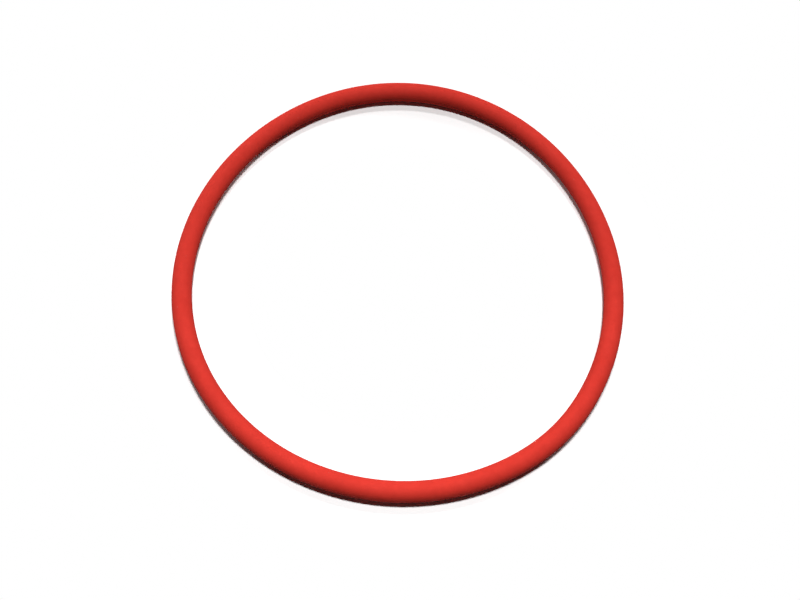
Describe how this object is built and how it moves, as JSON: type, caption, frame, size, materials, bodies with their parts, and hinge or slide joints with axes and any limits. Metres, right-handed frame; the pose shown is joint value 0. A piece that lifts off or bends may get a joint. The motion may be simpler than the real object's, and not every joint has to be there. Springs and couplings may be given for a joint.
{
  "type": "o-ring",
  "caption": "Moulded silicone rubber o-ring of round section, squeezed in a groove to seal between a shaft and its housing.",
  "frame": {"origin": "centre of the ring, in the middle plane where the mould halves meet", "axes": "+Z along the ring's axis; the ring is the same all round, so X and Y are free"},
  "size_m": [0.08, 0.08, 0.0036],
  "materials": {
    "silicone_rubber": "satin"
  },
  "bodies": {
    "root": {"o_ring": "silicone_rubber"}
  },
  "joints": []
}
